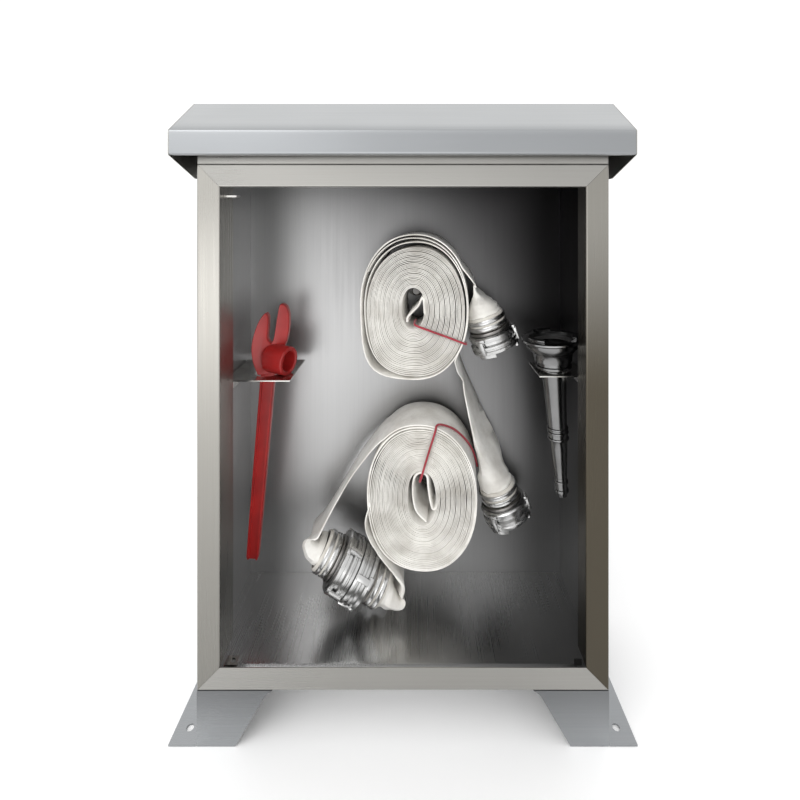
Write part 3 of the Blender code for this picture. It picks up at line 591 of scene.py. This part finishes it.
# ---- couplings ----
def make_coupling(letter):
    """One hose coupling: a ribbed swivel ring, a dark collar, a bolted clamp and a canvas cuff."""
    mouth, axis, ring_r, body = COUPLINGS[letter]
    place = basis(mouth, axis)
    name = "coupling_" + letter
    r = ring_r
    joined = letter in "cd"
    bm = bmesh.new()
    revolve(bm, place, [(r - .0020, -.0004), (r - .0004, -.0012), (r, -.0030), (r, -.0062),
                        (r - .0022, -.0078),
                        (r - .0022, -.0096), (r - .0002, -.0110), (r - .0002, -.0150), (r - .0050, -.0176),
                        (r - .0050, -.0226), (r - .0014, -.0244), (r - .0010, -.0300), (r - .0030, -.0326),
                        (r - .0064, -.0340), (.0346, -.0340), (.0346, -.0160), (.0410, -.0160),
                        (.0410, -.0008)])
    lugs = 4 if joined else 3
    for k in range(lugs):
        turn = Matrix.Rotation(2 * math.pi * (k + 0.32) / lugs, 4, "Z")
        block(bm, place @ turn, (r + .0002, 0, -.0150), (.0060, .0110, .0250), .0014)
        block(bm, place @ turn, (r - .0010, 0, -.0290), (.0055, .0200, .0070), .0014)
    if not joined:
        for k in range(3):
            revolve(bm, place, [(.0414, -.0020), (.0440, -.0020), (.0440, .0052), (.0428, .0064),
                                (.0395, .0064), (.0395, .0038), (.0414, .0034)],
                    12, 2 * math.pi * k / 3 + 0.2, math.radians(46))
    body_from(name + "_ring_cast", bm, aluminium, body, (name + "_ring",))

    bm = bmesh.new()
    revolve(bm, place, [(.0406, -.0096), (.0406, -.0156), (.0342, -.0158), (.0342, -.0344), (.0392, -.0348),
                        (.0398, -.0360), (.0398, -.0384), (.0388, -.0398), (.0312, -.0404), (.0310, -.0680),
                        (.0276, -.0680), (.0276, -.0096)])
    body_from(name + "_collar", bm, aluminium_dark, body, (name + "_shank",))

    bm = bmesh.new()
    revolve(bm, place, [(.0313, -.0420), (.0340, -.0414), (.0352, -.0430), (.0352, -.0640), (.0341, -.0670),
                        (.0336, -.0680), (.0313, -.0680)])
    body_from(name + "_cuff", bm, canvas_tail, body, (name + "_binding",))

    bm = bmesh.new()
    for z in (-.0470, -.0590):
        revolve(bm, place, [(.0353, z - .0040), (.0372, z - .0040), (.0380, z - .0026), (.0372, z),
                            (.0380, z + .0026), (.0372, z + .0040), (.0353, z + .0040)])
    ear = place @ Matrix.Rotation(math.radians(200 if letter in "ab" else 150), 4, "Z")
    for side in (-1, 1):
        block(bm, ear, (.0425, side * .0052, -.0530), (.0120, .0034, .0200), .0010)
    for z in (-.0470, -.0590):
        rod(bm, ear, Vector((.0445, -.0125, z)), (0, 1, 0), .0020, .0240, 16)
        rod(bm, ear, Vector((.0445, -.0125, z)), (0, 1, 0), .0040, .0036, 6)
        rod(bm, ear, Vector((.0445, .0085, z)), (0, 1, 0), .0040, .0030, 6)
    body_from(name + "_clamp", bm, aluminium, body)


# ---- nozzle and spanner ----
def make_nozzle():
    """The branch pipe: a clawed coupling, a long cone with three bands, and a ringed tip."""
    place = basis(NOZZLE_RIM, NOZZLE_AXIS)
    bm = bmesh.new()
    revolve(bm, place, [(.0405, .0004), (.0520, .0004), (.0538, .0016), (.0539, .0046),
                        (.0524, .0064), (.0470, .0082),
                        (.0466, .0130), (.0455, .0170), (.0385, .0240), (.0345, .0300),
                        (.0337, .0360), (.0332, .0410),
                        (.0290, .0425), (.0290, .0480), (.0318, .0492), (.0318, .0530),
                        (.0270, .0550), (.0240, .0550), (.0240, .0200), (.0385, .0120), (.0405, .0100)], 96)
    for k in range(3):
        revolve(bm, place, [(.0404, .0010), (.0465, .0006), (.0470, -.0040), (.0455, -.0052),
                            (.0400, -.0052), (.0365, -.0040), (.0365, -.0010), (.0404, .0002)],
                12, 2 * math.pi * k / 3 + 0.55, math.radians(42))
    body_from("nozzle_head", bm, turned_metal, "nozzle", ("nozzle_coupling",))
    bm = bmesh.new()
    revolve(bm, place, [(.0402, .0080), (.0402, .0102), (.0384, .0118), (.0300, .0118),
                        (.0300, .0086), (.0315, .0080)], 72)
    body_from("nozzle_seal", bm, black_rubber, "nozzle", ("nozzle_gasket",))
    bm = bmesh.new()
    outer = [(.0225, .0560), (.0210, .0760), (.0188, .1120), (.0168, .1560), (.0168, .1615)]
    for t in (.1640, .1715, .1825):
        outer += [(.0168, t - .0022), (.0186, t - .0012), (.0190, t), (.0186, t + .0012),
                  (.0168, t + .0022)]
    outer += [(.0160, .1860), (.0150, .1980), (.0128, .2300), (.0108, .2540)]
    revolve(bm, place, outer + [(.0080, .2540), (.0140, .1600), (.0200, .0560)], 72)
    body_from("nozzle_cone", bm, turned_metal, "nozzle", ("nozzle_body",))
    bm = bmesh.new()
    outer = [(.0106, .2545)]
    for t in (.2620, .2780):
        outer += [(.0106, t - .0030), (.0122, t - .0020), (.0124, t), (.0122, t + .0020),
                  (.0106, t + .0030)]
    revolve(bm, place, outer + [(.0100, .2840), (.0088, .2880), (.0066, .2890), (.0066, .2545)], 64)
    body_from("nozzle_orifice", bm, turned_metal, "nozzle", ("nozzle_tip",))


def slab(bm, place, shape, thick, lean, bevel):
    """A rounded plate cut to a shape of (across, up) points; lean sets how its depth changes across it."""
    front, back = [], []
    for u, v in shape:
        front.append(bm.verts.new(place @ Vector((u, u * lean - thick / 2, v))))
        back.append(bm.verts.new(place @ Vector((u, u * lean + thick / 2, v))))
    count = len(shape)
    faces = [bm.faces.new(front), bm.faces.new(back)]
    for i in range(count):
        j = (i + 1) % count
        faces.append(bm.faces.new((front[i], front[j], back[j], back[i])))
    bmesh.ops.recalc_face_normals(bm, faces=faces)
    edges = list({e for f in faces[:2] for e in f.edges})
    bmesh.ops.bevel(bm, geom=edges, offset=bevel, segments=3, affect="EDGES", profile=0.5)


def make_spanner():
    """The cast hydrant spanner: two curved jaws, a socket barrel and a tapering handle with a sunk web."""
    upright = Matrix.Translation(SPANNER_AT)
    place = upright @ Matrix.Rotation(math.atan2(SPANNER_AXIS.x, SPANNER_AXIS.z), 4, "Y")
    bm = bmesh.new()
    near = [(-.0160, -.002, 0), (-.0235, .022, 0), (-.0262, .043, 0), (-.0245, .065, 0),
            (-.0160, .094, 0), (-.0065, .1095, 0),
            (-.0020, .1105, 0), (.0015, .102, 0), (.0005, .080, 0), (.0000, .063, 0),
            (.0070, .052, 0), (.0140, .044, 0),
            (.0120, .010, 0), (.0060, -.002, 0)]
    far = [(.0000, .010, 0), (.0020, .046, 0), (.0095, .060, 0), (.0130, .080, 0), (.0165, .106, 0),
           (.0200, .1240, 0),
           (.0250, .1262, 0), (.0315, .1210, 0), (.0362, .105, 0), (.0352, .0725, 0),
           (.0290, .046, 0), (.0150, .010, 0)]
    slab(bm, upright, [tuple(p)[:2] for p in smooth(near, 3)], .0170, 0.42, .0022)
    slab(bm, upright, [tuple(p)[:2] for p in smooth(far, 3)], .0165, 0.42, .0022)
    side = basis((-0.2540, 0.0375, 0.5690), (0.93, -0.36, -0.06))
    revolve(bm, side, [(.0135, .0030), (.0235, .0000), (.0255, .0016), (.0262, .0060), (.0262, .0420),
                       (.0250, .0436),
                       (.0205, .0440), (.0190, .0430), (.0190, .0200), (.0001, .0200), (.0001, .0030)], 48)
    levels = ((.030, .0130, .0088), (-.020, .0130, .0085), (-.110, .0126, .0082), (-.200, .0122, .0078),
              (-.300, .0116, .0072), (-.346, .0112, .0068), (-.352, .0096, .0056))
    rings = []
    for z, hx, hy in levels:
        web = hy * 0.42
        lip = hx * 0.62
        half = [(-hx, -hy * .7), (-hx * .92, -hy), (-lip - .0006, -hy), (-lip, -web), (lip, -web),
                (lip + .0006, -hy), (hx * .92, -hy), (hx, -hy * .7)]
        section = half + [(-x, -y) for x, y in half]
        rings.append([bm.verts.new(place @ Vector((x, y, z))) for x, y in section])
    for a, b in zip(rings, rings[1:]):
        for i in range(len(a)):
            j = (i + 1) % len(a)
            bm.faces.new((a[i], a[j], b[j], b[i]))
    bm.faces.new(rings[0])
    bm.faces.new(rings[-1])
    body_from("spanner_cast", bm, red_paint, "spanner", ("spanner",), 32.0)


make_nozzle()
make_spanner()
make_upper_hose()
make_lower_hose()
for letter in "abcd":
    make_coupling(letter)


# ---- the studio ----
FLOOR_HALF = 30.0
FLOOR_GAP = 0.0005
WORLD_BRIGHTNESS = 1.12
KEY_POWER = 46
FILL_POWER = 10


def make_stage():
    """A plain pale floor, just under the feet."""
    mesh = bpy.data.meshes.new("studio_floor")
    half = FLOOR_HALF
    corners = [(-half, -half, 0), (half, -half, 0), (half, half, 0), (-half, half, 0)]
    mesh.from_pydata(corners, [], [(0, 1, 2, 3)])
    floor = link(bpy.data.objects.new("studio_floor", mesh))
    floor.location.z = -FLOOR_GAP
    mat, _, _ = new_material("studio_floor", (0.97, 0.97, 0.97), 0.0, 0.95)
    mesh.materials.append(mat)


def area_light(name, place, target, size, power):
    """A soft rectangular light that points at the target."""
    data = bpy.data.lights.new(name, "AREA")
    data.shape = "RECTANGLE"
    data.size, data.size_y = size
    data.energy = power
    light = link(bpy.data.objects.new(name, data))
    light.location = place
    light.rotation_euler = (Vector(target) - Vector(place)).to_track_quat("-Z", "Y").to_euler()


def make_world(brightness):
    """An even white surround."""
    world = bpy.data.worlds.new("studio")
    bpy.context.scene.world = world
    world.use_nodes = True
    background = world.node_tree.nodes["Background"]
    background.inputs["Color"].default_value = (1.0, 1.0, 1.0, 1.0)
    background.inputs["Strength"].default_value = brightness


make_stage()
make_world(WORLD_BRIGHTNESS)
area_light("key", (-1.6, -2.2, 2.6), (0, 0, 0.5), (2.6, 2.6), KEY_POWER)
area_light("fill", (-0.5, -2.4, 0.30), (0, 0, 0.3), (2.2, 0.9), FILL_POWER)

camera_data = bpy.data.cameras.new("camera")
camera_data.lens = CAMERA_LENS
camera_data.sensor_width = CAMERA_SENSOR
camera_data.shift_x, camera_data.shift_y = CAMERA_SHIFT
camera_data.clip_start = 0.01
camera = link(bpy.data.objects.new("camera", camera_data))
camera.location = CAMERA_AT
camera.rotation_euler = (math.radians(90), 0, 0)
bpy.context.scene.camera = camera
bpy.context.scene.view_settings.view_transform = "Standard"
